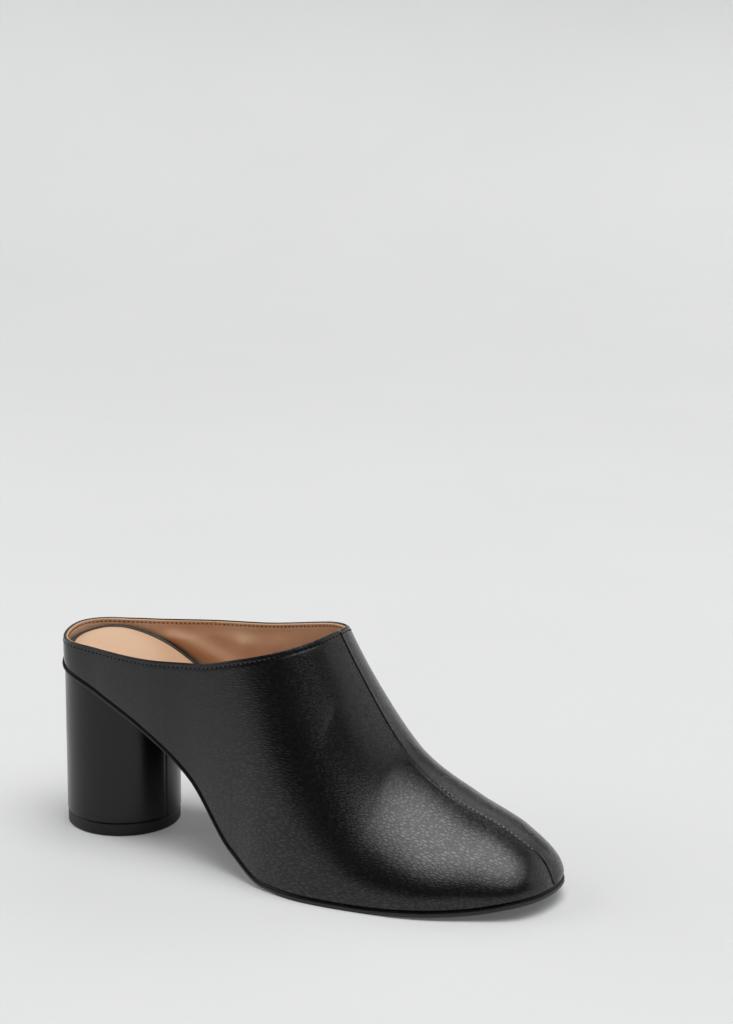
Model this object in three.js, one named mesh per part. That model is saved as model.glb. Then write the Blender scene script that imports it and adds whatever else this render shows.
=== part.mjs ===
import * as THREE from 'three';

// Heeled clog for a right foot, in millimetres.
// In the shoe's own frame x runs from the back of the heel seat to the toe, y to the inner side of the
// foot and z up from the floor. The feather line is where the upper meets the sole.

// Driving sizes
const LENGTH = 232;
const BALL_OUTER = 45.5;
const BALL_INNER = 37.3;
const HEEL_RISE = 76.5;
const TOE_SPRING = 6.4;
const INSTEP_HEIGHT = 97.6;
const INSTEP_SWING = 4.6;
const THROAT_X = 130.2;
const BACK_RIM = 8.6;
const WALL = 2;
const SIDE_FULLNESS = 4;
const SIDE_FULL_HEIGHT = 30;
const SEAM_EASE_WIDTH = 1;
const SEAM_EASE_DEPTH = 0.4;
const SOLE_THICKNESS = 2.2;
const SOLE_EDGE = 0.3;
const SOLE_JOINT_HEIGHT = 0.7;
const SOLE_JOINT_DEPTH = 0.4;
const FOOTBED_THICKNESS = 11;
const FOOTBED_CROWN = 0.8;
const FOOTBED_TOE_EASE = 4;
const FOOTBED_BEVEL = 0.4;
const HEEL_DIAMETER = 50.7;
const HEEL_BACK = 1;
const HEEL_CENTRE_Y = -0.8;
const TOP_PIECE_HEIGHT = 5.8;
const TOP_PIECE_INSET = 0.25;
const TOP_PIECE_BEVEL = 0.6;
const CLEARANCE = 0.3;

// Sections of the feather line, heel to toe. outerX and innerX are shares of LENGTH, outer and inner are
// half widths as shares of the ball's, rise is a share of HEEL_RISE and spring one of TOE_SPRING.
// steps is the number of columns up to the next section.
const SECTIONS = [
  { outerX: 0, innerX: 0, outer: 0, inner: 0, rise: 1, spring: 0, steps: 8 },
  { outerX: 0.04, innerX: 0.04, outer: 0.51, inner: 0.515, rise: 0.95, spring: 0, steps: 5 },
  { outerX: 0.13, innerX: 0.13, outer: 0.621, inner: 0.679, rise: 0.842, spring: 0, steps: 4 },
  { outerX: 0.24, innerX: 0.24, outer: 0.673, inner: 0.825, rise: 0.682, spring: 0, steps: 4 },
  { outerX: 0.34, innerX: 0.34, outer: 0.68, inner: 0.88, rise: 0.459, spring: 0, steps: 5 },
  { outerX: 0.44, innerX: 0.44, outer: 0.798, inner: 0.91, rise: 0.122, spring: 0, steps: 5 },
  { outerX: 0.52, innerX: 0.52, outer: 0.939, inner: 0.965, rise: 0.01, spring: 0, steps: 5 },
  { outerX: 0.6, innerX: 0.6, outer: 1, inner: 0.99, rise: 0, spring: 0, steps: 5 },
  { outerX: 0.7, innerX: 0.7, outer: 0.96, inner: 1, rise: 0, spring: 0, steps: 4 },
  { outerX: 0.8, innerX: 0.8, outer: 0.86, inner: 0.976, rise: 0, spring: 0.13, steps: 5 },
  { outerX: 0.886, innerX: 0.906, outer: 0.67, inner: 0.795, rise: 0, spring: 0.35, steps: 5 },
  { outerX: 0.969, innerX: 0.984, outer: 0.405, inner: 0.481, rise: 0, spring: 0.88, steps: 8 },
  { outerX: 1, innerX: 1, outer: 0, inner: 0, rise: 0, spring: 1, steps: 0 },
];

// Depths over the same sections: sole is a share of SOLE_THICKNESS, bed one of FOOTBED_THICKNESS.
const DEPTHS = [
  { sole: 0.7, bed: 0.32 },
  { sole: 0.7, bed: 0.73 },
  { sole: 0.7, bed: 1 },
  { sole: 0.6, bed: 0.59 },
  { sole: 0.5, bed: 0.42 },
  { sole: 0.55, bed: 0.36 },
  { sole: 0.8, bed: 0.3 },
  { sole: 1, bed: 0.28 },
  { sole: 1, bed: 0.28 },
  { sole: 1, bed: 0.26 },
  { sole: 1, bed: 0.24 },
  { sole: 1, bed: 0.2 },
  { sole: 1, bed: 0.18 },
];

// Crest of the last over the same sections: x is a share of LENGTH, over the height above the seat as a
// share of INSTEP_HEIGHT, swing a share of INSTEP_SWING towards the inner side. The last row only steers
// the curve down the front of the toe.
const CREST = [
  { x: 0.07, over: 0.773, swing: 0.2 },
  { x: 0.09, over: 0.835, swing: 0.26 },
  { x: 0.15, over: 0.986, swing: 0.43 },
  { x: 0.25, over: 1.175, swing: 0.71 },
  { x: 0.345, over: 1.33, swing: 0.98 },
  { x: 0.445, over: 1.407, swing: 1 },
  { x: 0.525, over: 1.154, swing: 0.95 },
  { x: 0.605, over: 0.838, swing: 0.79 },
  { x: 0.7, over: 0.529, swing: 0.61 },
  { x: 0.8, over: 0.356, swing: 0.41 },
  { x: 0.9, over: 0.249, swing: 0.22 },
  { x: 0.97, over: 0.125, swing: 0.09 },
  { x: 1, over: 0, swing: 0 },
  { x: 1.03, over: -0.15, swing: 0 },
];

// How each section's wall curves between feather and crest. side is how far up the lower handle stands,
// full how far it leans out as a share of SIDE_FULLNESS. outerTop and innerTop are the top handles' reach
// as shares of the plan width, outerDrop and innerDrop their drop as shares of the height.
const WALL_CURVES = [
  { side: 0.34, full: 0.64, outerTop: 0.31, outerDrop: 0.08, innerTop: 0.24, innerDrop: 0.09 },
  { side: 0.38, full: 0.64, outerTop: 0.34, outerDrop: 0.08, innerTop: 0.3, innerDrop: 0.08 },
  { side: 0.43, full: 0.83, outerTop: 0.37, outerDrop: 0.08, innerTop: 0.37, innerDrop: 0.07 },
  { side: 0.48, full: 1, outerTop: 0.39, outerDrop: 0.07, innerTop: 0.47, innerDrop: 0.06 },
  { side: 0.51, full: 1.03, outerTop: 0.4, outerDrop: 0.06, innerTop: 0.57, innerDrop: 0.03 },
  { side: 0.51, full: 0.9, outerTop: 0.41, outerDrop: 0.05, innerTop: 0.65, innerDrop: -0.01 },
  { side: 0.49, full: 0.72, outerTop: 0.39, outerDrop: 0.04, innerTop: 0.72, innerDrop: -0.05 },
  { side: 0.46, full: 0.61, outerTop: 0.41, outerDrop: 0.02, innerTop: 0.73, innerDrop: -0.04 },
  { side: 0.42, full: 0.57, outerTop: 0.3, outerDrop: 0.08, innerTop: 0.79, innerDrop: -0.03 },
  { side: 0.42, full: 0.63, outerTop: 0.32, outerDrop: 0.09, innerTop: 0.9, innerDrop: -0.06 },
  { side: 0.4, full: 0.64, outerTop: 0.45, outerDrop: 0.06, innerTop: 0.87, innerDrop: -0.06 },
  { side: 0.34, full: 0.6, outerTop: 0.57, outerDrop: 0.04, innerTop: 0.72, innerDrop: -0.01 },
  { side: 0.3, full: 0.56, outerTop: 0.69, outerDrop: 0.01, innerTop: 0.59, innerDrop: 0.04 },
];

// Collar line from the back rim to the throat. x is a share of THROAT_X, outer and inner are shares of
// the height from the back rim up to the throat.
const COLLAR = [
  { x: 0, outer: 0, inner: 0 },
  { x: 0.1, outer: -0.045, inner: -0.11 },
  { x: 0.178, outer: -0.075, inner: -0.075 },
  { x: 0.392, outer: -0.14, inner: 0.06 },
  { x: 0.605, outer: -0.03, inner: 0.215 },
  { x: 0.784, outer: 0.355, inner: 0.51 },
  { x: 0.906, outer: 0.66, inner: 0.735 },
  { x: 0.968, outer: 0.855, inner: 0.81 },
  { x: 1, outer: 1, inner: 1 },
];

// Mesh fineness
const LAST_SECTION = SECTIONS.length - 1;
const TOE_STOP = 0.62;
const WALL_ROWS = 9;
const SLAB_STRIPS = 4;
const HEEL_SIDES = 64;
const HEEL_RINGS = 4;
const WELD = 1e4;
const NUDGE = 0.02;

// Monotone cubic through rows of (x, y). A level stretch stays level, and the ends run on straight.
function monotone(xs, ys) {
  const last = xs.length - 1;
  const slopes = xs.slice(1).map((x, i) => (ys[i + 1] - ys[i]) / (x - xs[i]));
  const tangents = ys.map((y, i) => {
    const before = slopes[Math.max(i - 1, 0)];
    const after = slopes[Math.min(i, last - 1)];
    return before * after > 0 ? (2 * before * after) / (before + after) : 0;
  });
  return (x) => {
    if (x <= xs[0]) {
      return ys[0] + tangents[0] * (x - xs[0]);
    }
    if (x >= xs[last]) {
      return ys[last] + tangents[last] * (x - xs[last]);
    }
    const i = xs.findIndex((edge, k) => k > 0 && x <= edge) - 1;
    const span = xs[i + 1] - xs[i];
    const t = (x - xs[i]) / span;
    const rise = ys[i] * (1 + 2 * t) * (1 - t) ** 2 + ys[i + 1] * t * t * (3 - 2 * t);
    const bend = span * (tangents[i] * t * (1 - t) ** 2 - tangents[i + 1] * t * t * (1 - t));
    return rise + bend;
  };
}

// Value of a named column of a table at a fractional row
function readRow(table, column, row) {
  const i = Math.min(Math.floor(row), table.length - 2);
  return THREE.MathUtils.lerp(table[i][column], table[i + 1][column], row - i);
}

// Level of the sole's upper side along the shoe: down the arch to the tread and up at the toe
const TREAD_TOP = SOLE_THICKNESS + CLEARANCE;
const SECTION_XS = SECTIONS.map((row) => row.outerX * LENGTH);
const seat = monotone(
  SECTION_XS,
  SECTIONS.map((row) => TREAD_TOP + row.rise * HEEL_RISE + row.spring * TOE_SPRING),
);
const soleDepth = monotone(
  SECTION_XS,
  DEPTHS.map((row) => row.sole * SOLE_THICKNESS),
);
const bedDepth = monotone(
  SECTION_XS,
  DEPTHS.map((row) => row.bed * FOOTBED_THICKNESS),
);

function seatDown(x) {
  const slope = (seat(x + NUDGE) - seat(x - NUDGE)) / (2 * NUDGE);
  return new THREE.Vector3(slope, 0, -1).normalize();
}

// Feather line in plan, closed round heel and toe
const outline = new THREE.CatmullRomCurve3(
  [
    ...SECTIONS.map((row) => new THREE.Vector3(row.outerX * LENGTH, -row.outer * BALL_OUTER, 0)),
    ...SECTIONS.slice(1, LAST_SECTION)
      .reverse()
      .map((row) => new THREE.Vector3(row.innerX * LENGTH, row.inner * BALL_INNER, 0)),
  ],
  true,
  'catmullrom',
  0.5,
);

// side is -1 for the outer side and 1 for the inner side
function outlineShare(side, row) {
  const share = row / (2 * LAST_SECTION);
  return side < 0 ? share : (1 - share) % 1;
}

function planOut(side, row) {
  const tangent = outline.getTangent(outlineShare(side, row));
  return new THREE.Vector3(tangent.y, -tangent.x, 0).normalize();
}

function onSeat(point) {
  return point.setZ(seat(point.x));
}

function featherPoint(side, row, out = 0) {
  const point = outline.getPoint(outlineShare(side, row));
  return onSeat(point.addScaledVector(planOut(side, row), out));
}

// Crest of the last in the middle of the vamp, where the centre seam runs
const crest = new THREE.CatmullRomCurve3(
  CREST.map((row) => {
    const x = row.x * LENGTH;
    return new THREE.Vector3(x, row.swing * INSTEP_SWING, seat(x) + row.over * INSTEP_HEIGHT);
  }),
  false,
  'catmullrom',
  0.5,
);

function crestPoint(row) {
  return crest.getPoint(row / (CREST.length - 1));
}

function crestOut(row) {
  const tangent = crestPoint(row + NUDGE).sub(crestPoint(row - NUDGE));
  return new THREE.Vector3(-tangent.z, 0, tangent.x).normalize();
}

// One column of the last's surface, from feather line to crest
function columnCurve(side, row) {
  const feather = featherPoint(side, row);
  const top = crestPoint(row);
  const height = top.z - feather.z;
  const name = side < 0 ? 'outer' : 'inner';
  const lean = SIDE_FULLNESS * readRow(WALL_CURVES, 'full', row);
  const lower = feather.clone();
  lower.addScaledVector(planOut(side, row), lean * Math.min(height / SIDE_FULL_HEIGHT, 1));
  lower.z += readRow(WALL_CURVES, 'side', row) * height;
  const reach = readRow(WALL_CURVES, `${name}Top`, row);
  const upper = top.clone();
  upper.x += (feather.x - top.x) * reach;
  upper.y += (feather.y - top.y) * reach;
  upper.z -= readRow(WALL_CURVES, `${name}Drop`, row) * height;
  return new THREE.CubicBezierCurve3(feather, lower, upper, top);
}

// Place of the throat on the crest, and the collar's height from there to the back rim
function findRow(low, high, isPast) {
  let from = low;
  let to = high;
  for (let i = 0; i < 40; i += 1) {
    const middle = (from + to) / 2;
    if (isPast(middle)) {
      to = middle;
    } else {
      from = middle;
    }
  }
  return (from + to) / 2;
}

const THROAT_ROW = findRow(0, LAST_SECTION, (row) => crestPoint(row).x > THROAT_X);
const BACK_RIM_Z = seat(0) + BACK_RIM;
const COLLAR_CLIMB = crestPoint(THROAT_ROW).z - BACK_RIM_Z;

function collarCurve(column) {
  return monotone(
    COLLAR.map((row) => row.x * THROAT_X),
    COLLAR.map((row) => BACK_RIM_Z + row[column] * COLLAR_CLIMB),
  );
}

const collarHeight = { '-1': collarCurve('outer'), 1: collarCurve('inner') };

function topShare(side, row, curve) {
  if (row >= THROAT_ROW) {
    return 1;
  }
  return findRow(0, 1, (share) => {
    const point = curve.getPoint(share);
    return point.z > collarHeight[side](point.x);
  });
}

// Outward direction of the last's surface at a share of a column
function surfaceOut(side, row, share, curve) {
  if (share <= 0) {
    return planOut(side, row);
  }
  if (share >= 1) {
    return crestOut(row);
  }
  const up = curve.getPoint(share + NUDGE).sub(curve.getPoint(share - NUDGE));
  if (row === 0) {
    return new THREE.Vector3(-up.z, 0, up.x).normalize();
  }
  const near = columnCurve(side, row - NUDGE).getPoint(share);
  const along = columnCurve(side, row + NUDGE).getPoint(share).sub(near);
  return along.cross(up).multiplyScalar(-side).normalize();
}

// A column of the upper: outer points and inner points, with an eased edge at the top row
function upperColumn(side, row) {
  const curve = columnCurve(side, row);
  const top = topShare(side, row, curve);
  const ease = Math.min(SEAM_EASE_WIDTH / curve.getLength(), top / WALL_ROWS);
  const shares = Array.from({ length: WALL_ROWS + 1 }, (_, j) => ((top - ease) * j) / WALL_ROWS);
  shares.push(top);
  const outside = [];
  const inside = [];
  shares.forEach((share, j) => {
    const out = surfaceOut(side, row, share, curve);
    const point = curve.getPoint(share);
    const sunk = j === shares.length - 1 ? SEAM_EASE_DEPTH : 0;
    outside.push(point.clone().addScaledVector(out, -sunk));
    const inner = point.clone().addScaledVector(out, -WALL);
    inside.push(j === 0 ? onSeat(inner) : inner);
  });
  return { outside, inside };
}

// Closed faceted solid gathered from points and faces
class Solid {
  constructor() {
    this.positions = [];
    this.faces = [];
    this.known = new Map();
  }

  index(point) {
    const key = [point.x, point.y, point.z].map((value) => Math.round(value * WELD)).join();
    if (!this.known.has(key)) {
      this.known.set(key, this.positions.length / 3);
      this.positions.push(point.x, point.y, point.z);
    }
    return this.known.get(key);
  }

  triangle(a, b, c) {
    const face = [this.index(a), this.index(b), this.index(c)];
    if (new Set(face).size === 3) {
      this.faces.push(...face);
    }
  }

  quad(a, b, c, d) {
    this.triangle(a, b, c);
    this.triangle(a, c, d);
  }

  // Strip between two equal rows of points, facing out on the right of the first row
  strip(first, second, flip = false) {
    for (let i = 0; i + 1 < first.length; i += 1) {
      if (flip) {
        this.quad(first[i], second[i], second[i + 1], first[i + 1]);
      } else {
        this.quad(first[i], first[i + 1], second[i + 1], second[i]);
      }
    }
  }

  grid(rows, flip = false) {
    for (let j = 0; j + 1 < rows.length; j += 1) {
      this.strip(rows[j], rows[j + 1], flip);
    }
  }

  geometry() {
    const geometry = new THREE.BufferGeometry();
    geometry.setAttribute('position', new THREE.Float32BufferAttribute(this.positions, 3));
    geometry.setIndex(this.faces);
    geometry.computeVertexNormals();
    return geometry;
  }
}

// Fractional sections at which columns stand, with one exactly at the throat
function columnRows(stop) {
  const rows = SECTIONS.flatMap((section, i) => {
    return Array.from({ length: section.steps }, (_, k) => i + k / section.steps);
  });
  const nearest = rows.reduce((best, row) => {
    return Math.abs(row - THROAT_ROW) < Math.abs(best - THROAT_ROW) ? row : best;
  });
  return rows.map((row) => (row === nearest ? THROAT_ROW : row)).filter((row) => row <= stop);
}

// Lasted upper: outer skin, inner skin, collar rim and the open feather edge below
function upperGeometry() {
  const solid = new Solid();
  const rows = columnRows(LAST_SECTION - 1 + TOE_STOP);
  const throat = rows.indexOf(THROAT_ROW);
  const toe = featherPoint(-1, LAST_SECTION);
  const toeInside = featherPoint(-1, LAST_SECTION, -WALL);
  const back = upperColumn(-1, 0);
  [-1, 1].forEach((side) => {
    const flip = side > 0;
    const columns = [back, ...rows.slice(1).map((row) => upperColumn(side, row))];
    columns.push({
      outside: back.outside.map(() => toe),
      inside: back.inside.map(() => toeInside),
    });
    columns.slice(1).forEach((column, i) => {
      solid.strip(column.outside, columns[i].outside, flip);
      solid.strip(column.inside, columns[i].inside, !flip);
    });
    const topOf = (skin) => columns.slice(0, throat + 1).map((column) => column[skin].at(-1));
    solid.strip(topOf('outside'), topOf('inside'), flip);
    const bottomOf = (skin) => columns.map((column) => column[skin][0]);
    solid.strip(bottomOf('outside'), bottomOf('inside'), !flip);
  });
  return solid.geometry();
}

// A slab across the shoe that follows the seat's curve, as layers from its top to its bottom. A layer's
// out is how far its edge stands outside the feather line at a section, and its place moves a point of
// the seat onto the layer, given the share of the way across.
function slabGeometry(layers) {
  const solid = new Solid();
  const rows = [...columnRows(LAST_SECTION), LAST_SECTION];
  const band = ({ out, place }, share) => {
    return rows.map((row) => {
      const outer = featherPoint(-1, row, out(row));
      const inner = featherPoint(1, row, out(row));
      return place(onSeat(outer.lerp(inner, share)), share);
    });
  };
  const cover = (layer, flip) => {
    const bands = Array.from({ length: SLAB_STRIPS + 1 }, (_, k) => band(layer, k / SLAB_STRIPS));
    solid.grid(bands, flip);
  };
  cover(layers[0], false);
  cover(layers.at(-1), true);
  layers.slice(1).forEach((layer, i) => {
    solid.strip(band(layer, 0), band(layers[i], 0));
    solid.strip(band(layer, 1), band(layers[i], 1), true);
  });
  return solid.geometry();
}

// Outsole: set off square to the seat, thinner at the waist. Its side steps back above the edge at the
// joint with the upper.
function outsoleGeometry() {
  const layer = (depth, out) => ({
    out: () => out,
    place: (point) => point.addScaledVector(seatDown(point.x), CLEARANCE + depth(point.x)),
  });
  const joint = SOLE_EDGE - SOLE_JOINT_DEPTH;
  return slabGeometry([
    layer(() => 0, joint),
    layer(() => SOLE_JOINT_HEIGHT, joint),
    layer(() => SOLE_JOINT_HEIGHT, SOLE_EDGE),
    layer(soleDepth, SOLE_EDGE),
  ]);
}

// Insole: a padded footbed on the outsole inside the upper's wall, a little crowned across. It fills the
// heel so that the seat lies nearly level, and is drawn in at the toe.
function insoleGeometry() {
  const inset = (row) => {
    const toeShare = THREE.MathUtils.smoothstep(row, LAST_SECTION - 2, LAST_SECTION);
    return WALL + CLEARANCE + FOOTBED_TOE_EASE * toeShare;
  };
  const lifted = (point, share) => {
    point.z += bedDepth(point.x) + FOOTBED_CROWN * 4 * share * (1 - share);
    return point;
  };
  return slabGeometry([
    { out: (row) => -inset(row) - FOOTBED_BEVEL, place: lifted },
    { out: (row) => -inset(row), place: (point) => point },
  ]);
}

// Underside of the outsole at a place along the shoe
function underside(x) {
  let above = x;
  for (let i = 0; i < 8; i += 1) {
    above = x - seatDown(above).x * (CLEARANCE + soleDepth(above));
  }
  return seat(above) + seatDown(above).z * (CLEARANCE + soleDepth(above));
}

// Centre of the heel's round column
const HEEL_CENTRE = [HEEL_DIAMETER / 2 - HEEL_BACK, HEEL_CENTRE_Y, 0];

// Heel block: a round column whose top is cut to the underside of the sole
function heelBlockGeometry() {
  const solid = new Solid();
  const radius = HEEL_DIAMETER / 2;
  const base = TOP_PIECE_HEIGHT + CLEARANCE;
  const ring = (reach, height) => {
    return Array.from({ length: HEEL_SIDES + 1 }, (_, i) => {
      const angle = (2 * Math.PI * (i % HEEL_SIDES)) / HEEL_SIDES;
      const point = new THREE.Vector3(reach * Math.cos(angle), reach * Math.sin(angle), 0);
      return point.setZ(height(HEEL_CENTRE[0] + point.x));
    });
  };
  const seated = (x) => underside(x) - CLEARANCE;
  const reaches = Array.from({ length: HEEL_RINGS + 1 }, (_, k) => (radius * k) / HEEL_RINGS);
  solid.grid(reaches.map((reach) => ring(reach, seated)).reverse());
  solid.strip(ring(radius, () => base), ring(radius, seated));
  solid.strip(ring(0, () => base), ring(radius, () => base));
  return solid.geometry();
}

// Top piece: the rubber lift that meets the floor, with a level face and a small bevel
function topPieceGeometry() {
  const radius = HEEL_DIAMETER / 2 - TOP_PIECE_INSET;
  const profile = [
    new THREE.Vector2(0, 0),
    new THREE.Vector2(radius - TOP_PIECE_BEVEL, 0),
    new THREE.Vector2(radius, TOP_PIECE_BEVEL),
    new THREE.Vector2(radius, TOP_PIECE_HEIGHT),
    new THREE.Vector2(0, TOP_PIECE_HEIGHT),
  ];
  const geometry = new THREE.LatheGeometry(profile, HEEL_SIDES);
  geometry.rotateX(Math.PI / 2);
  return geometry;
}

function leather(color, roughness) {
  return new THREE.MeshStandardMaterial({ color, roughness, metalness: 0 });
}

function piece(name, geometry, material, position = [0, 0, 0]) {
  const mesh = new THREE.Mesh(geometry, material);
  mesh.name = name;
  mesh.position.set(...position);
  return mesh;
}

const clog = new THREE.Group();
clog.name = 'heeled_clog';
clog.add(
  piece('upper', upperGeometry(), leather(0x1b1b1c, 0.45)),
  piece('outsole', outsoleGeometry(), leather(0x161616, 0.55)),
  piece('insole', insoleGeometry(), leather(0xd9b28c, 0.6)),
  piece('heel_block', heelBlockGeometry(), leather(0x1b1b1c, 0.42), HEEL_CENTRE),
  piece('heel_top_piece', topPieceGeometry(), leather(0x141414, 0.7), HEEL_CENTRE),
);

// The part's origin is on the floor under the middle of the shoe
const bounds = new THREE.Box3().setFromObject(clog);
const middle = bounds.getCenter(new THREE.Vector3());
clog.position.set(-middle.x, -middle.y, -bounds.min.z);

export default clog;
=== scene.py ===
# %% [markdown]
# A heeled clog, dressed in leather.
# The shoe's solids come measured, at their real size, as a fixed frame. This lesson builds the fine
# surfaces that a viewer sees around them: leather with a turned rim, a lining, stitches, a sole edge and a
# covered heel. The first step loads the frame, with a helper that gives the box of any of its solids.

# %% Load the frame
import math

import bpy
import numpy as np
from mathutils import Matrix, Vector
from mathutils.bvhtree import BVHTree
from mathutils.kdtree import KDTree


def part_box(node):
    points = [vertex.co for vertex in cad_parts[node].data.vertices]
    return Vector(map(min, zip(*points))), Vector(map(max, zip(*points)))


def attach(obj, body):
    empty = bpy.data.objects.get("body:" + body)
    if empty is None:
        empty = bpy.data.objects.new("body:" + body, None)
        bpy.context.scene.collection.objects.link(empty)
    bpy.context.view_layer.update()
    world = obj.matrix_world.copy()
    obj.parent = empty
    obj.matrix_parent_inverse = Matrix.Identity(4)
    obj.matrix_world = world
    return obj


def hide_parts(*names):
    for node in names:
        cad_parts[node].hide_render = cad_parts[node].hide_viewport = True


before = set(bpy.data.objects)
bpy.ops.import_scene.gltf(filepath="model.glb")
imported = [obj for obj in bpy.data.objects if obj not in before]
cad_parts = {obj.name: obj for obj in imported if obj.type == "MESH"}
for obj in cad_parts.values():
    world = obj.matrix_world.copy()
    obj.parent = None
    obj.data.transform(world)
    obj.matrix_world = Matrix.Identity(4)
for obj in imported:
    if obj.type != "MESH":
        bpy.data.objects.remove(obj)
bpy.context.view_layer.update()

print("nodes:", sorted(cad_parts))

# %% [markdown]
# One measure for everything.
# A shoemaker works in millimetres from the back of the heel seat, with x to the toe, y to the inner side
# and z up. Blender works in metres from the middle of the shoe. It is easiest to think in the maker's
# measure and convert only when a mesh is made, so every shape of the shoe is written in millimetres.

# %% From the maker's millimetres to the frame's metres
MM = 0.001
HEEL_DIAMETER = 50.7
HEEL_BACK = 1.0
HEEL_CENTRE_Y = -0.8
HEEL_CENTRE_X = HEEL_DIAMETER / 2 - HEEL_BACK

low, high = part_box("heel_top_piece")
SHIFT = np.array([
    (low.x + high.x) / 2 / MM - HEEL_CENTRE_X,
    (low.y + high.y) / 2 / MM - HEEL_CENTRE_Y,
    0.0,
])


def to_frame(points):
    return (np.asarray(points, float) + SHIFT) * MM


print("shift in mm:", SHIFT.round(3))

# %% [markdown]
# The last.
# A shoe is pulled over a last, the wooden form of a foot. Here the last is a family of curves: each one
# climbs from the feather line, where upper and sole meet, to the crest in the middle. A sculpted mesh
# would do too, but curves read from a short table keep the true outline from every side, and they can be
# sampled as finely as the leather needs.

# %% Sizes and tables of the last
LENGTH = 232.0
BALL_OUTER = 45.5
BALL_INNER = 37.3
HEEL_RISE = 76.5
TOE_SPRING = 6.4
INSTEP_HEIGHT = 97.6
INSTEP_SWING = 4.6
THROAT_X = 130.2
BACK_RIM = 8.6
SIDE_FULLNESS = 4.0
SIDE_FULL_HEIGHT = 30.0
SOLE_THICKNESS = 2.2
FOOTBED_THICKNESS = 11.0
CLEARANCE = 0.3
OUTER, INNER = -1, 1

# outer x, inner x, outer and inner half width, rise, spring, sole depth, footbed depth
SECTIONS = np.array([
    (0, 0, 0, 0, 1, 0, 0.7, 0.32),
    (0.04, 0.04, 0.51, 0.515, 0.95, 0, 0.7, 0.73),
    (0.13, 0.13, 0.621, 0.679, 0.842, 0, 0.7, 1),
    (0.24, 0.24, 0.673, 0.825, 0.682, 0, 0.6, 0.59),
    (0.34, 0.34, 0.68, 0.88, 0.459, 0, 0.5, 0.42),
    (0.44, 0.44, 0.798, 0.91, 0.122, 0, 0.55, 0.36),
    (0.52, 0.52, 0.939, 0.965, 0.01, 0, 0.8, 0.3),
    (0.6, 0.6, 1, 0.99, 0, 0, 1, 0.28),
    (0.7, 0.7, 0.96, 1, 0, 0, 1, 0.28),
    (0.8, 0.8, 0.86, 0.976, 0, 0.13, 1, 0.26),
    (0.886, 0.906, 0.67, 0.795, 0, 0.35, 1, 0.24),
    (0.969, 0.984, 0.405, 0.481, 0, 0.88, 1, 0.2),
    (1, 1, 0, 0, 0, 1, 1, 0.18),
])
# x, height above the seat, swing to the inner side
CREST = np.array([
    (0.07, 0.773, 0.2), (0.09, 0.835, 0.26), (0.15, 0.986, 0.43), (0.25, 1.175, 0.71),
    (0.345, 1.33, 0.98), (0.445, 1.407, 1), (0.525, 1.154, 0.95), (0.605, 0.838, 0.79),
    (0.7, 0.529, 0.61), (0.8, 0.356, 0.41), (0.9, 0.249, 0.22), (0.97, 0.125, 0.09),
    (1, 0, 0), (1.03, -0.15, 0),
])
# side, fullness, outer top reach, outer top drop, inner top reach, inner top drop
WALL_CURVES = np.array([
    (0.34, 0.64, 0.31, 0.08, 0.24, 0.09), (0.38, 0.64, 0.34, 0.08, 0.3, 0.08),
    (0.43, 0.83, 0.37, 0.08, 0.37, 0.07), (0.48, 1, 0.39, 0.07, 0.47, 0.06),
    (0.51, 1.03, 0.4, 0.06, 0.57, 0.03), (0.51, 0.9, 0.41, 0.05, 0.65, -0.01),
    (0.49, 0.72, 0.39, 0.04, 0.72, -0.05), (0.46, 0.61, 0.41, 0.02, 0.73, -0.04),
    (0.42, 0.57, 0.3, 0.08, 0.79, -0.03), (0.42, 0.63, 0.32, 0.09, 0.9, -0.06),
    (0.4, 0.64, 0.45, 0.06, 0.87, -0.06), (0.34, 0.6, 0.57, 0.04, 0.72, -0.01),
    (0.3, 0.56, 0.69, 0.01, 0.59, 0.04),
])
# x, outer and inner height of the collar
COLLAR = np.array([
    (0, 0, 0), (0.1, -0.045, -0.11), (0.178, -0.075, -0.075), (0.392, -0.14, 0.06),
    (0.605, -0.03, 0.215), (0.784, 0.355, 0.51), (0.906, 0.66, 0.735), (0.968, 0.855, 0.81),
    (1, 1, 1),
])
LAST_ROW = len(SECTIONS) - 1
print(len(SECTIONS), "sections over", LENGTH, "mm, heel", HEEL_RISE, "mm, toe spring", TOE_SPRING, "mm")

# %% [markdown]
# Curves through the tables.
# Two kinds of curve are enough. Levels, such as the seat of the foot, need one that never swings past its
# points, so they use a monotone cubic. Outlines need one that flows round corners, so they use a
# Catmull-Rom spline. Both are written for whole arrays, because thousands of points are asked for at once.

# %% Two curves
def monotone(xs, ys):
    slopes = np.diff(ys) / np.diff(xs)
    before = np.r_[slopes[:1], slopes]
    after = np.r_[slopes, slopes[-1:]]
    rising = before * after > 0
    tangents = np.where(rising, 2 * before * after / np.where(rising, before + after, 1), 0)

    def value(x):
        x = np.asarray(x, float)
        inside = np.clip(x, xs[0], xs[-1])
        i = np.clip(np.searchsorted(xs, inside) - 1, 0, len(xs) - 2)
        span = xs[i + 1] - xs[i]
        t = (inside - xs[i]) / span
        level = ys[i] * (1 + 2 * t) * (1 - t) ** 2 + ys[i + 1] * t * t * (3 - 2 * t)
        bend = span * (tangents[i] * t * (1 - t) ** 2 - tangents[i + 1] * t * t * (1 - t))
        ends = tangents[0] * np.minimum(x - xs[0], 0) + tangents[-1] * np.maximum(x - xs[-1], 0)
        return level + bend + ends

    return value


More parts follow.
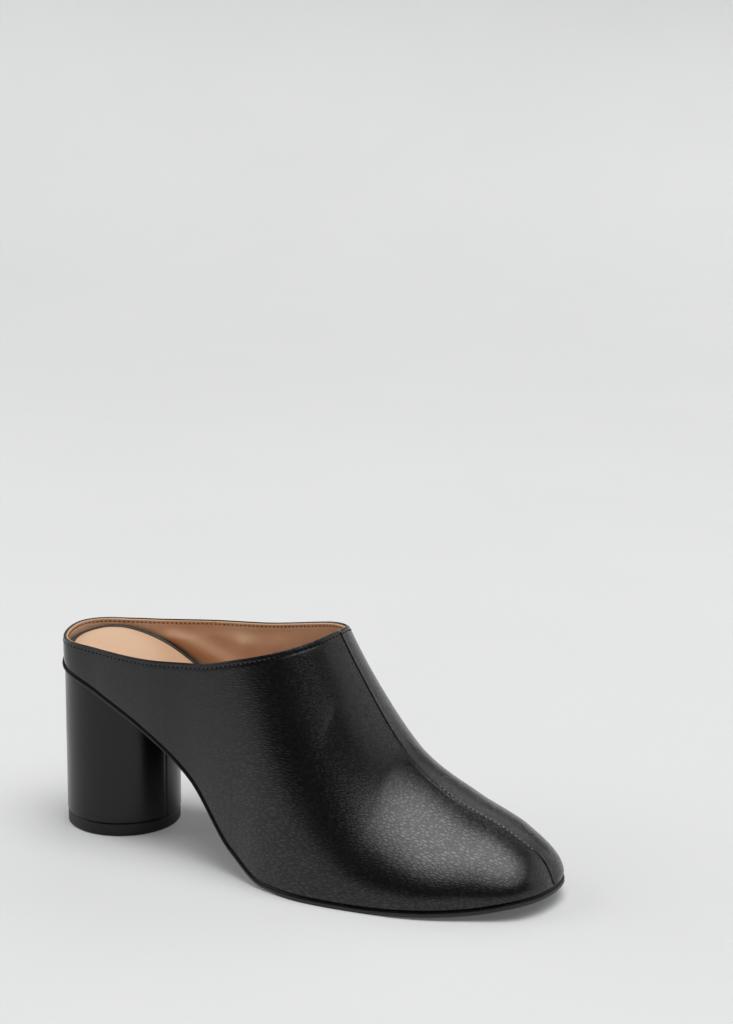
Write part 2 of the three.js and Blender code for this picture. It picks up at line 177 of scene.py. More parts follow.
def spline(points, rows, closed=False):
    count = len(points)
    if closed:
        i = np.floor(rows).astype(int)
        p = [points[(i + k - 1) % count] for k in range(4)]
    else:
        i = np.minimum(np.floor(rows).astype(int), count - 2)
        padded = np.vstack([2 * points[0] - points[1], points, 2 * points[-1] - points[-2]])
        p = [padded[i + k] for k in range(4)]
    t = (rows - i)[:, None]
    leave, arrive = (p[2] - p[0]) / 2, (p[3] - p[1]) / 2
    place = p[1] * (2 * t**3 - 3 * t**2 + 1) + p[2] * (3 * t**2 - 2 * t**3)
    return place + leave * (t**3 - 2 * t**2 + t) + arrive * (t**3 - t**2)


def unit(vectors):
    return vectors / np.maximum(np.linalg.norm(vectors, axis=-1, keepdims=True), 1e-12)


def smooth(value, start, end):
    t = np.clip((value - start) / (end - start), 0, 1)
    return t * t * (3 - 2 * t)


TREAD_TOP = SOLE_THICKNESS + CLEARANCE
section_x = SECTIONS[:, 0] * LENGTH
seat = monotone(section_x, TREAD_TOP + SECTIONS[:, 4] * HEEL_RISE + SECTIONS[:, 5] * TOE_SPRING)
sole_depth = monotone(section_x, SECTIONS[:, 6] * SOLE_THICKNESS)
bed_depth = monotone(section_x, SECTIONS[:, 7] * FOOTBED_THICKNESS)
print("seat at heel and tread:", seat(0.0).round(2), seat(150.0).round(2))

# %% [markdown]
# Feather line, crest and wall.
# The feather line is the outline that the sole follows, so the same function also sets the sole and the
# footbed, a little further out or in. The wall between feather and crest is a cubic Bezier whose lower
# handle leans out, as leather bulges over the edge of a last.

# %% The last's surface
NUDGE = 0.01
outline_points = np.vstack([
    np.c_[SECTIONS[:, 0] * LENGTH, -SECTIONS[:, 2] * BALL_OUTER],
    np.c_[SECTIONS[:, 1] * LENGTH, SECTIONS[:, 3] * BALL_INNER][-2:0:-1],
])
crest_points = np.c_[
    CREST[:, 0] * LENGTH,
    CREST[:, 2] * INSTEP_SWING,
    seat(CREST[:, 0] * LENGTH) + CREST[:, 1] * INSTEP_HEIGHT,
]


def on_seat(points):
    points = points.copy()
    points[..., 2] = seat(points[..., 0])
    return points


def plan_out(side, rows):
    index = rows if side == OUTER else 2 * LAST_ROW - rows
    ahead = spline(outline_points, index + NUDGE, closed=True)
    tangent = ahead - spline(outline_points, index - NUDGE, closed=True)
    return unit(np.c_[tangent[:, 1], -tangent[:, 0], np.zeros(len(rows))])


def feather(side, rows, out=0.0):
    index = rows if side == OUTER else 2 * LAST_ROW - rows
    plan = spline(outline_points, index, closed=True)
    points = np.c_[plan, np.zeros(len(rows))] + plan_out(side, rows) * np.reshape(out, (-1, 1))
    return on_seat(points)


def crest(rows):
    return spline(crest_points, rows)


def wall(column, rows):
    return np.interp(rows, np.arange(LAST_ROW + 1), WALL_CURVES[:, column])


def wall_handles(side, rows):
    foot, top = feather(side, rows), crest(rows)
    height = top[:, 2] - foot[:, 2]
    lower = foot + plan_out(side, rows) * (
        SIDE_FULLNESS * wall(1, rows) * np.minimum(height / SIDE_FULL_HEIGHT, 1)
    )[:, None]
    lower[:, 2] += wall(0, rows) * height
    own = 2 if side == OUTER else 4
    joined = smooth(rows, 0, 1) if side == INNER else 1.0
    reach = wall(2, rows) + (wall(own, rows) - wall(2, rows)) * joined
    drop = wall(3, rows) + (wall(own + 1, rows) - wall(3, rows)) * joined
    upper = top.copy()
    upper[:, :2] += (foot - top)[:, :2] * reach[:, None]
    upper[:, 2] -= drop * height
    return np.stack([foot, lower, upper, top], axis=1)


def bezier(handles, shares):
    t = shares[..., None]
    a, b, c, d = (handles[:, None, k] for k in range(4))
    return a * (1 - t) ** 3 + b * 3 * t * (1 - t) ** 2 + c * 3 * t * t * (1 - t) + d * t**3


print("toe tip:", crest(np.array([float(LAST_ROW)])).round(2))

# %% [markdown]
# The collar cut.
# The wall ends at the collar, which dips at the sides and climbs to the throat. On each curve the place
# where it crosses the collar's height is found by halving, which is slow for one point but quick for all
# curves together.

# %% Where the collar cuts the wall
near_throat = np.linspace(6, 7, 2001)
throat_row = np.interp(THROAT_X, crest(near_throat)[:, 0], near_throat)
back_rim_z = float(seat(0.0)) + BACK_RIM
collar_climb = crest(np.array([throat_row]))[0, 2] - back_rim_z
collar_height = {
    side: monotone(COLLAR[:, 0] * THROAT_X, back_rim_z + COLLAR[:, column] * collar_climb)
    for side, column in ((OUTER, 1), (INNER, 2))
}


HALVINGS = 40


def top_shares(side, rows, handles):
    start, end = np.zeros(len(rows)), np.ones(len(rows))
    for _ in range(HALVINGS):
        middle = (start + end) / 2
        point = bezier(handles, middle[:, None])[:, 0]
        past = point[:, 2] > collar_height[side](point[:, 0])
        end = np.where(past, middle, end)
        start = np.where(past, start, middle)
    return np.where(rows >= throat_row - 1e-9, 1.0, (start + end) / 2)


print("throat at row", round(float(throat_row), 3), "collar climbs", round(float(collar_climb), 1), "mm")

# %% [markdown]
# A skin of points.
# Both leather and lining are skins over the last. Their points lie close together near the collar, the
# seam and the feather line, where the small forms are, and further apart between. Near the throat the
# columns crowd together, so that the rim turns the corner in even steps. An even grid with a Subdivision
# modifier would need many more points for the same fine edges.

# %% Rows and columns of a skin
THROAT_REACH = 0.5
ROW_GAP = 0.01
FULL_WALL = 24
FINE_SHARES = 97


def even_rows(steps):
    return np.concatenate([i + np.arange(n) / n for i, n in enumerate(steps)] + [[LAST_ROW]])


def skin_rows(steps, throat_steps):
    rows = even_rows(steps)
    near = throat_row - THROAT_REACH * (1 - np.arange(throat_steps + 1) / throat_steps) ** 2
    return np.concatenate([rows[rows < near[0] - ROW_GAP], near, rows[rows > throat_row + ROW_GAP]])


def spread(length, near_foot, near_top, middle):
    """Places down a wall, from its top: close at both ends, and drawn together where the wall is low"""
    scale = np.minimum(1, length / FULL_WALL)[:, None]
    foot = length[:, None] - np.array(near_foot) * scale
    top = np.array(near_top[::-1]) * scale
    t = np.linspace(0, 1, middle + 2)[1:-1]
    between = foot[:, -1:] + (top[:, :1] - foot[:, -1:]) * t
    return np.concatenate([foot, between, top], axis=1)


def skin_columns(side, rows, spacing):
    handles = wall_handles(side, rows)
    shares = top_shares(side, rows, handles)[:, None] * np.linspace(0, 1, FINE_SHARES)
    run = bezier(handles, shares)
    steps = np.linalg.norm(np.diff(run, axis=1), axis=2)
    climbed = np.concatenate([np.zeros((len(rows), 1)), np.cumsum(steps, axis=1)], axis=1)
    below = spread(climbed[:, -1], *spacing)
    wanted = climbed[:, -1:] - below
    found = np.stack([np.interp(w, c, s) for w, c, s in zip(wanted, climbed, shares)])
    return bezier(handles, found), below


print("rows near the throat:", skin_rows([2] * LAST_ROW, 4).round(2))

# %% [markdown]
# Faces between the points.
# A grid of points needs a face in each of its squares. Where two sides of the shoe meet, at the toe and at
# the back, some squares close to triangles, and those with fewer than three corners are left out, so that
# no stray face is kept. The direction square to each point is the mean of the faces round it.

# %% Faces and their directions
def grid_faces(index, flip=False):
    faces = np.stack([index[:-1, :-1], index[1:, :-1], index[1:, 1:], index[:-1, 1:]], axis=-1)
    faces = faces.reshape(-1, 4)
    return faces[:, ::-1] if flip else faces


def tidy_faces(faces):
    kept = []
    for face in faces.tolist():
        ring = [v for k, v in enumerate(face) if v != face[k - 1]]
        if len(set(ring)) >= 3:
            kept.append(ring)
    return kept


def point_normals(points, faces):
    a, b, c, d = (points[faces[:, k]] for k in range(4))
    normal = np.cross(c - a, d - b)
    total = np.zeros_like(points)
    for k in range(4):
        np.add.at(total, faces[:, k], normal)
    return unit(total)


print("faces in a grid of 3 by 4 points:", len(grid_faces(np.arange(12).reshape(3, 4))))

# %% [markdown]
# One layer over the last.
# The outer and the inner side of the shoe are made apart and welded where they meet. A layer also has to
# know where its rim runs, which way is up there and how far each point lies from it, because the turned
# edge, the stitches and the folds are all measured from the rim. A class keeps these facts together, and
# both the leather and the lining are made from it.

# %% The skin and its rim
class Skin:
    """One layer over the last: its welded points, their normals and their place under the collar."""

    def __init__(self, rows, spacing):
        self.rows = rows
        grids = [skin_columns(side, rows, spacing) for side in (OUTER, INNER)]
        places = np.stack([grid[0] for grid in grids])
        keys = np.round(places.reshape(-1, 3), 4)
        _, first, index = np.unique(keys, axis=0, return_index=True, return_inverse=True)
        self.index = index.reshape(places.shape[:-1])
        self.points = places.reshape(-1, 3)[first]
        self.below = np.stack([grid[1] for grid in grids]).reshape(-1)[first]
        self.side = np.repeat([OUTER, INNER], len(rows) * places.shape[2])[first]
        row_of = np.broadcast_to(rows[None, :, None], places.shape[:-1])
        self.row = row_of.reshape(-1)[first]
        self.faces = np.concatenate([
            grid_faces(self.index[0]),
            grid_faces(self.index[1], flip=True),
        ])
        self.normals = point_normals(self.points, self.faces)
        self.find_rim()

    def find_rim(self):
        throat = int(np.argmin(abs(self.rows - throat_row)))
        outer, inner = self.index[0, throat::-1, -1], self.index[1, 1:throat, -1]
        self.loop = np.concatenate([outer, inner])
        rim = self.points[self.loop]
        self.rim_along = unit(np.roll(rim, -1, axis=0) - np.roll(rim, 1, axis=0))
        up = unit(np.cross(self.rim_along, self.normals[self.loop]))
        inside = self.points[self.index[0, throat // 2, -4]] - rim[throat - throat // 2]
        if up[throat - throat // 2] @ inside > 0:
            up = -up
        self.rim_up = up
        tree = KDTree(len(rim))
        for k, point in enumerate(rim):
            tree.insert(point, k)
        tree.balance()
        nearest = [tree.find(point)[1:] for point in self.points]
        self.rim_near = np.array([k for k, _ in nearest])
        self.rim_gap = self.rim_distance(rim)

    def rim_distance(self, rim):
        """Distance to the rim's line, from the two stretches beside the nearest point"""
        best = np.full(len(self.points), 1e9)
        for step in (-1, 1):
            a = rim[self.rim_near]
            b = rim[(self.rim_near + step) % len(rim)]
            along = b - a
            t = ((self.points - a) * along).sum(1) / np.maximum((along**2).sum(1), 1e-12)
            foot = a + along * np.clip(t, 0, 1)[:, None]
            best = np.minimum(best, np.linalg.norm(self.points - foot, axis=1))
        return best

    def lower_rim(self, inset, reach=6.0):
        fade = np.clip(1 - self.rim_gap / reach, 0, 1) ** 2
        self.points = self.points - self.rim_up[self.rim_near] * (inset * fade)[:, None]


# Rows in each section of the last, then the distances of the points near the sole and near the collar
SKIN_STEPS = [36, 26, 32, 30, 30, 30, 24, 18, 18, 18, 18, 34]
NEAR_FOOT = [0, 0.2, 0.45, 0.75, 1.1, 1.6, 2.3]
NEAR_TOP = [0, 0.12, 0.25, 0.4, 0.6, 0.85, 1.15, 1.45, 1.75, 2.05, 2.35, 2.7, 3.1, 3.6, 4.3, 5.2]
leather_skin = Skin(skin_rows(SKIN_STEPS, 24), (NEAR_FOOT, NEAR_TOP, 30))
print("leather skin:", len(leather_skin.points), "points")

# %% [markdown]
# Meshes and pieces.
# Every piece ends the same way: its points become metres, its faces a smooth-shaded mesh, and it is told
# which body carries it, which solid it stands for and which finish the record gives it. One helper does
# that, so that no piece is forgotten.

# %% A helper for finished pieces
finishes = {}


def make_piece(name, points, faces, finish, replaced=()):
    mesh = bpy.data.meshes.new(name)
    mesh.from_pydata(to_frame(points).tolist(), [], faces)
    mesh.validate()
    mesh.polygons.foreach_set("use_smooth", np.ones(len(mesh.polygons), bool))
    piece = bpy.data.objects.new(name, mesh)
    bpy.context.scene.collection.objects.link(piece)
    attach(piece, "root")
    if replaced:
        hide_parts(*replaced)
    finishes.setdefault(finish, []).append(piece)
    print(name, len(mesh.vertices), "points", len(mesh.polygons), "faces")


print("pieces wait for", sorted(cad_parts))

# %% [markdown]
# The black leather.
# On the real shoe one piece of leather closes over the toe in a seam along the middle, is turned over at
# the collar and tucked under at the sole. The seam is a narrow valley with a low ridge beside it, the rim
# is a half round, and the row of stitches below it pulls the leather in. All these are moved points, not
# painted lines, so they catch the light from every side.

# %% Forms in the leather
LEATHER = 1.1
SEAM_DEPTH, SEAM_WIDTH = 0.5, 0.34
RIDGE_HEIGHT, RIDGE_PLACE, RIDGE_WIDTH = 0.1, 1.0, 0.5
STITCH_INSET = 2.1
PULL_DEPTH, PULL_WIDTH = 0.11, 0.6
ROLL_HEIGHT, ROLL_PLACE, ROLL_WIDTH = 0.03, 1.0, 0.6
TUCK_DEPTH, TUCK_HEIGHT = 0.6, 0.8


def bump(distance, centre, width):
    return np.exp(-(((distance - centre) / width) ** 2))


foot_gap = np.zeros(len(leather_skin.points))
for half in leather_skin.index:
    column = leather_skin.points[half]
    foot_gap[half] = np.linalg.norm(column - column[:, :1], axis=2)

leather_skin.lower_rim(LEATHER / 2)
on_vamp = smooth(leather_skin.row, throat_row - 0.02, throat_row)
seam = -SEAM_DEPTH * bump(leather_skin.below, 0, SEAM_WIDTH)
seam += RIDGE_HEIGHT * bump(leather_skin.below, RIDGE_PLACE, RIDGE_WIDTH)
pull = -PULL_DEPTH * bump(leather_skin.rim_gap, STITCH_INSET, PULL_WIDTH)
pull += ROLL_HEIGHT * bump(leather_skin.rim_gap, ROLL_PLACE, ROLL_WIDTH)
tuck = -TUCK_DEPTH * np.clip(1 - foot_gap / TUCK_HEIGHT, 0, 1) ** 2
relief = seam * on_vamp + pull + tuck

outer_face = leather_skin.points + leather_skin.normals * relief[:, None]
print("relief from", relief.min().round(2), "to", relief.max().round(2), "mm")

# %% [markdown]
# Closing a skin into a sheet.
# A sheet of leather has two faces and an edge. The second face is the first one moved inwards, the rim is
# a half round between them, and the lower edges are joined by a strip. Blender's Solidify modifier would
# do most of this, but the round rim would still be missing, so the sheet is stitched together here.

# %% Two faces and a round rim
RIM_STEPS = 8


def close_sheet(skin, front, back):
    points = [front, back]
    faces = [skin.faces, skin.faces[:, ::-1] + len(front)]
    start, end = front[skin.loop], back[skin.loop]
    middle, across = (start + end) / 2, (start - end) / 2
    radius = np.linalg.norm(across, axis=1, keepdims=True)
    rings = [skin.loop]
    for k in range(1, RIM_STEPS):
        angle = math.pi * k / RIM_STEPS
        rings.append(np.arange(len(skin.loop)) + sum(map(len, points)))
        points.append(middle + across * math.cos(angle) + skin.rim_up * radius * math.sin(angle))
    rings.append(skin.loop + len(front))
    band = np.stack(rings)
    band = np.concatenate([band, band[:, :1]], axis=1)
    faces.append(grid_faces(band, flip=True))
    for side, half in enumerate(skin.index):
        edge = np.stack([half[:, 0], half[:, 0] + len(front)])
        faces.append(grid_faces(edge, flip=side == 0))
    return np.concatenate(points), tidy_faces(np.concatenate(faces))


inner_face = leather_skin.points - leather_skin.normals * LEATHER
inner_face[:, 2] = np.maximum(inner_face[:, 2], seat(inner_face[:, 0]))
points, faces = close_sheet(leather_skin, outer_face, inner_face)
make_piece("upper_leather", points, faces, "black_leather", ["upper"])

# %% [markdown]
# The lining.
# Inside, a thinner tan leather lies against the black one and stops a little below the turned rim, where
# its cut edge shows as a fine pale line. It isn't glued flat everywhere, so it has a few soft folds where
# the vamp bends. A cloth simulation could find such folds, but not in the places where this shoe has them,
# so they are listed, as long low ridges.

# %% Lining with soft folds
WALL = 2.0
LINING_FRONT = LEATHER + 0.03
LINING_STEP = 0.1
LINING_STITCH_INSET = 1.5
LINING_PULL_DEPTH, LINING_PULL_WIDTH = 0.2, 0.45
FOLD_START, FOLD_FULL = 3, 9
LINING_STEPS = [22, 16, 20, 18, 18, 18, 16, 10, 10, 10, 10, 14]
LINING_NEAR_FOOT = [0, 0.8, 2.0]
LINING_NEAR_TOP = [0, 0.3, 0.7, 1.2, 1.7, 2.2, 2.7, 3.4, 4.4]
lining_skin = Skin(skin_rows(LINING_STEPS, 16), (LINING_NEAR_FOOT, LINING_NEAR_TOP, 26))
lining_skin.lower_rim(LEATHER / 2 + LINING_STEP)

# From x, z to x, z in mm, width, height, side
FOLDS = [
    (34, 81, 70, 66, 4.0, 2.3, INNER),
    (48, 86, 84, 78, 5.0, 0.8, INNER),
    (70, 78, 96, 54, 5.5, 1.6, INNER),
    (88, 84, 112, 62, 6.0, 1.0, INNER),
    (100, 92, 122, 76, 5.0, 0.45, INNER),
    (72, 66, 100, 60, 4.0, 0.4, OUTER),
    (96, 88, 118, 72, 5.0, 0.45, OUTER),
]
fold = np.zeros(len(lining_skin.points))
for x0, z0, x1, z1, width, height, side in FOLDS:
    start, along = np.array([x0, z0]), np.array([x1 - x0, z1 - z0])
    flat = lining_skin.points[:, [0, 2]] - start
    t = np.clip(flat @ along / (along @ along), 0, 1)
    gap = np.linalg.norm(flat - t[:, None] * along, axis=1)
    fold += height * bump(gap, 0, width) * (lining_skin.side == side)
fold *= smooth(lining_skin.rim_gap, FOLD_START, FOLD_FULL)
stitch_pull = LINING_PULL_DEPTH * bump(lining_skin.rim_gap, LINING_STITCH_INSET, LINING_PULL_WIDTH)

front = lining_skin.points - lining_skin.normals * LINING_FRONT
back = lining_skin.points - lining_skin.normals * (WALL + fold - stitch_pull)[:, None]
for face in (front, back):
    face[:, 2] = np.maximum(face[:, 2], seat(face[:, 0]))
points, faces = close_sheet(lining_skin, front, back)
make_piece("upper_lining", points, faces, "tan_lining")
lining_tree = BVHTree.FromPolygons(back.tolist(), tidy_faces(lining_skin.faces))

# %% [markdown]
# Stitches.
# A stitch is a short thread that rises from one hole and dips into the next. A texture could fake it, but
# real little threads give true highlights and shadows. They are laid along a line on the leather: the
# line is found on the surface first, then cut into even lengths.

# %% A row of thread
THREAD_RINGS, THREAD_SIDES = 7, 8


def even_places(line, pitch):
    steps = np.linalg.norm(np.diff(line, axis=0), axis=1)
    run = np.concatenate([[0], np.cumsum(steps)])
    marks = np.arange(pitch / 2, run[-1], pitch)
    return np.stack([np.interp(marks, run, line[:, k]) for k in range(3)], axis=1)


def lay_on(tree, points):
    hits = [tree.find_nearest(Vector(point)) for point in points]
    return np.array([hit[0] for hit in hits]), np.array([hit[1] for hit in hits])


def thread_row(name, places, normals, finish, length, radius, rise):
    """Short threads, thick in the middle, whose ends dip into the surface. Sizes are in mm."""
    along = unit(np.gradient(places, axis=0))
    across = unit(np.cross(normals, along))
    t = np.linspace(-1, 1, THREAD_RINGS)[None, :, None, None]
    turn = np.linspace(0, 2 * math.pi, THREAD_SIDES, endpoint=False)[None, None, :, None]
    thin = radius * np.sqrt(1 - (0.9 * t) ** 2)
    middle = places[:, None, None] + along[:, None, None] * t * length / 2
    middle = middle + normals[:, None, None] * (rise - 1.6 * radius * t**2)
    round_it = across[:, None, None] * np.cos(turn) + normals[:, None, None] * np.sin(turn)
    points = (middle + thin * round_it).reshape(-1, 3)
    index = np.arange(len(points)).reshape(len(places), THREAD_RINGS, THREAD_SIDES)
    index = np.concatenate([index, index[:, :, :1]], axis=2)
    faces = [f for stitch in index for f in grid_faces(stitch).tolist()]
    faces += [ring[:-1].tolist() for ring in index[:, 0]]
    faces += [ring[:-1][::-1].tolist() for ring in index[:, -1]]
    make_piece(name, points, faces, finish)


STITCH_PITCH = 2.1
OPENING_MIDDLE = np.array([60.0, 0, 95.0])
leather_tree = BVHTree.FromPolygons(outer_face.tolist(), tidy_faces(leather_skin.faces))
rim_line = leather_skin.points[leather_skin.loop] + leather_skin.rim_up * LEATHER / 2
line = rim_line - leather_skin.rim_up * STITCH_INSET
line, _ = lay_on(leather_tree, np.vstack([line, line[:1]]))
places, normals = lay_on(leather_tree, even_places(line, STITCH_PITCH))
thread_row(
    "collar_thread", places, normals, "black_thread", length=1.3, radius=0.3, rise=0.02
)

line = rim_line - leather_skin.rim_up * LINING_STITCH_INSET - leather_skin.normals[leather_skin.loop] * WALL
line, _ = lay_on(lining_tree, np.vstack([line, line[:1]]))
places, normals = lay_on(lining_tree, even_places(line, STITCH_PITCH))
facing = np.sign((normals * (OPENING_MIDDLE - places)).sum(1, keepdims=True))
thread_row(
    "lining_thread", places, normals * facing, "brown_thread",
    length=1.25, radius=0.36, rise=0.0,
)

# %% [markdown]
# Threads in the vamp seam.
# Down in the seam a few threads show where the two halves are joined. Their pale grey colour is a painted
# highlight: it gives the light dots that glints on the threads would give. They lie only on the flat front
# part of the vamp, a little to the inner side, and stand up a touch so that they catch the light.

# %% Seam stitches
SEAM_START, SEAM_END = 8.7, 10.75
THREAD_SHIFT = [0, 0.1, 0]
THREAD_LEAN = np.array([0, 0.4, 1.0])
line, _ = lay_on(leather_tree, crest(np.linspace(SEAM_START, SEAM_END, 120)))
places, normals = lay_on(leather_tree, even_places(line, STITCH_PITCH))
upward = unit(normals + THREAD_LEAN)
thread_row(
    "seam_thread", places + THREAD_SHIFT, upward, "grey_thread_painted_highlight",
    length=0.9, radius=0.2, rise=0.16,
)

# %% [markdown]
# The sole.
# A thin sole runs under the whole shoe and over the heel. It is a strip that follows the outline, with a
# step at the joint and rounded corners, closed by a top and an underside. Its depth is set off square to
# the seat, so it keeps its thickness down the arch. A flat plate bent by a Curve modifier would stretch at
# the arch, and its outline would have to be fitted again.

# %% Outsole
SOLE_EDGE = 0.3
SOLE_STEPS = [26, 16, 18, 18, 18, 16, 14, 14, 14, 14, 16, 26]
SOLE_STRIPS = 10


def slab(rows, layers, strips):
    """Solid across the shoe, from layers of (edge beyond the feather line, placing function)"""
    grids = []
    for out, place in layers:
        edge_out = np.broadcast_to(out(rows) if callable(out) else out, rows.shape)
        outer, inner = feather(OUTER, rows, edge_out), feather(INNER, rows, edge_out)
        share = np.linspace(0, 1, strips + 1)
        level = on_seat(outer[None] + (inner - outer)[None] * share[:, None, None])
        grids.append(place(level, share[:, None]))
    edges = [grids[0]] + [grid[[0, -1]] for grid in grids[1:-1]] + [grids[-1]]
    sizes = np.cumsum([0] + [edge.shape[0] * edge.shape[1] for edge in edges])
    index = [np.arange(a, b).reshape(e.shape[:2]) for a, b, e in zip(sizes, sizes[1:], edges)]
    points = np.concatenate([edge.reshape(-1, 3) for edge in edges])
    faces = [grid_faces(index[0], flip=True), grid_faces(index[-1])]
    for upper, lower in zip(index, index[1:]):
        faces.append(grid_faces(np.stack([lower[0], upper[0]]), flip=True))
        faces.append(grid_faces(np.stack([lower[-1], upper[-1]])))
    keys = np.round(points, 4)
    _, first, weld = np.unique(keys, axis=0, return_index=True, return_inverse=True)
    return points[first], tidy_faces(weld.reshape(-1)[np.concatenate(faces)])


def square_down(x):
    slope = (seat(x + NUDGE) - seat(x - NUDGE)) / (2 * NUDGE)
    down = np.stack([slope, np.zeros_like(slope), -np.ones_like(slope)], axis=-1)
    return unit(down)


def sole_layer(out, from_top=None, from_base=None):
    def place(level, share):
        x = level[..., 0]
        depth = from_top if from_base is None else sole_depth(x) - from_base
        return level + square_down(x) * np.expand_dims(CLEARANCE + depth * np.ones_like(x), -1)

    return out, place


sole_rows = even_rows(SOLE_STEPS)
# Edge beyond the feather line, and depth from the sole's top or height over its base
sole_layers = [
    sole_layer(-1.1, 0.0),
    sole_layer(-0.9, 0.0),
    sole_layer(-0.9, 0.6),
    sole_layer(-0.2, 0.66),
    sole_layer(SOLE_EDGE - 0.1, 0.7),
    sole_layer(SOLE_EDGE, 0.8),
    sole_layer(SOLE_EDGE, from_base=0.2),
    sole_layer(SOLE_EDGE - 0.08, from_base=0.05),
    sole_layer(SOLE_EDGE - 0.3, from_base=0.0),
    sole_layer(SOLE_EDGE - 0.8, from_base=0.0),
]
points, faces = slab(sole_rows, sole_layers, SOLE_STRIPS)
make_piece("sole", points, faces, "sole_rubber", ["outsole"])

# %% [markdown]
# The footbed.
# A foot rests on a tan leather sock, glued onto a board whose edge is wrapped in black and stands a little
# proud round it. One piece with a painted border would do from afar, but two pieces, one inside the other,
# give that dark line between sock and lining a true step.

# %% Footbed with its wrapped edge
TOE_EASE = 4.0
CROWN, CROWN_WIDTH = 0.8, 30
BED_STEPS = [30, 16, 16, 16, 16, 14, 14, 12, 12, 12, 12, 18]


def bed_layer(inset, lift, keep=1.0):
    def out(rows):
        ease = TOE_EASE * smooth(rows, LAST_ROW - 2, LAST_ROW)
        return -(WALL + CLEARANCE + ease) - inset

    def place(level, share):
        level = level.copy()
        wide = np.linalg.norm(level[-1] - level[0], axis=-1)
        crown = CROWN * 4 * share * (1 - share) * np.minimum(wide / CROWN_WIDTH, 1)
        level[..., 2] += (bed_depth(level[..., 0]) + crown + lift) * keep
        return level

    return out, place


bed_rows = even_rows(BED_STEPS)
# Inset from the lining, lift over the footbed's top, and share of its height that is kept
rim_layers = [
    bed_layer(2.6, -0.7),
    bed_layer(2.1, -0.5),
    bed_layer(1.95, 0.0),
    bed_layer(1.7, 0.4),
    bed_layer(1.2, 0.6),
    bed_layer(0.6, 0.55),
    bed_layer(0.15, 0.3),
    bed_layer(0.0, 0.0),
    bed_layer(0.0, 0.0, 0.5),
    bed_layer(0.0, 0.0, 0.0),
]
points, faces = slab(bed_rows, rim_layers, 8)
make_piece("footbed_edge", points, faces, "dark_edge", ["insole"])

sock_layers = [
    bed_layer(3.6, 0.24),
    bed_layer(2.9, 0.18),
    bed_layer(2.45, 0.06),
    bed_layer(2.2, -0.12),
    bed_layer(2.1, -0.4),
    bed_layer(2.1, -0.68),
]
points, faces = slab(bed_rows, sock_layers, 12)
make_piece("footbed_sock", points, faces, "tan_sock")

# %% [markdown]
# The heel.
# The heel is a round block covered with the same black leather, closed by an upright seam on its front.
# Its top follows the sole. A cylinder cut by the sole with a Boolean modifier would leave long thin faces,
# so it is built from rings of points, from foot to top, each a little higher on the steep side.

# %% Covered heel block
TOP_PIECE_HEIGHT = 5.8
HEEL_SEAM_ANGLE = math.radians(-10)
HEEL_SEAM_DEPTH, HEEL_SEAM_WIDTH = 0.22, 0.3
COVER_RADIUS = 20
HEEL_TURNS = 256


def underside(x):
    above = x
    for _ in range(8):
        above = x - square_down(above)[..., 0] * (CLEARANCE + sole_depth(above))
    return seat(above) + square_down(above)[..., 2] * (CLEARANCE + sole_depth(above))


def turned(profile, centre, top=None):
    """Solid of rings from (radius, share of height, offset), with an optional top that varies"""
    angle = np.linspace(0, 2 * math.pi, HEEL_TURNS, endpoint=False)
    away = (angle - HEEL_SEAM_ANGLE + math.pi) % (2 * math.pi) - math.pi
    rings = []
    for radius, share, offset in profile:
        reach = radius
        if top and radius > COVER_RADIUS:
            reach = radius - HEEL_SEAM_DEPTH * bump(away * radius, 0, HEEL_SEAM_WIDTH)
        x = centre[0] + reach * np.cos(angle)
        y = centre[1] + reach * np.sin(angle)
        base = TOP_PIECE_HEIGHT + CLEARANCE if top else 0.0
        ceiling = top(x) if top else TOP_PIECE_HEIGHT
        z = base + (ceiling - base) * share + offset
        rings.append(np.stack([x, y, np.broadcast_to(z, x.shape)], axis=1))
    index = np.arange(len(rings) * HEEL_TURNS).reshape(len(rings), HEEL_TURNS)
    points = np.concatenate(rings)
    ends = [points[index[k]].mean(0) for k in (0, -1)]
    points = np.vstack([points, ends])
    index = np.concatenate([index, index[:, :1]], axis=1)
    faces = grid_faces(index, flip=True).tolist()
    foot, head = len(points) - 2, len(points) - 1
    faces += [[foot, b, a] for a, b in zip(index[0], index[0, 1:])]
    faces += [[head, a, b] for a, b in zip(index[-1], index[-1, 1:])]
    return points, [list(map(int, face)) for face in faces]


radius = HEEL_DIAMETER / 2
foot_corner = [(0.5, 0), (0.2, 0.08), (0.04, 0.3), (0, 0.7)]
top_corner = [(0, -0.6), (0.05, -0.28), (0.2, -0.07), (0.5, 0)]
heel_profile = [(radius * k / 4, 0, 0) for k in (1, 2, 3)]
heel_profile += [(radius - inset, 0, offset) for inset, offset in foot_corner]
heel_profile += [(radius, k / 16, 0) for k in range(1, 16)]
heel_profile += [(radius - inset, 1, offset) for inset, offset in top_corner]
heel_profile += [(radius * k / 4, 1, 0) for k in (3, 2, 1)]
heel_centre = (HEEL_CENTRE_X, HEEL_CENTRE_Y)
points, faces = turned(heel_profile, heel_centre, lambda x: underside(x) - CLEARANCE)
make_piece("heel_cover", points, faces, "heel_leather", ["heel_block"])

# %% [markdown]
# The top piece.
# The rubber lift under the heel is what wears, so it is a piece of its own. It could be a cylinder with a
# Bevel modifier, but the same turned rings do it, with a small bevel at the floor and a fine step at its
# top, where it meets the cover.

# %% Rubber top piece
LIFT_INSET = 0.25
lift_radius = radius - LIFT_INSET
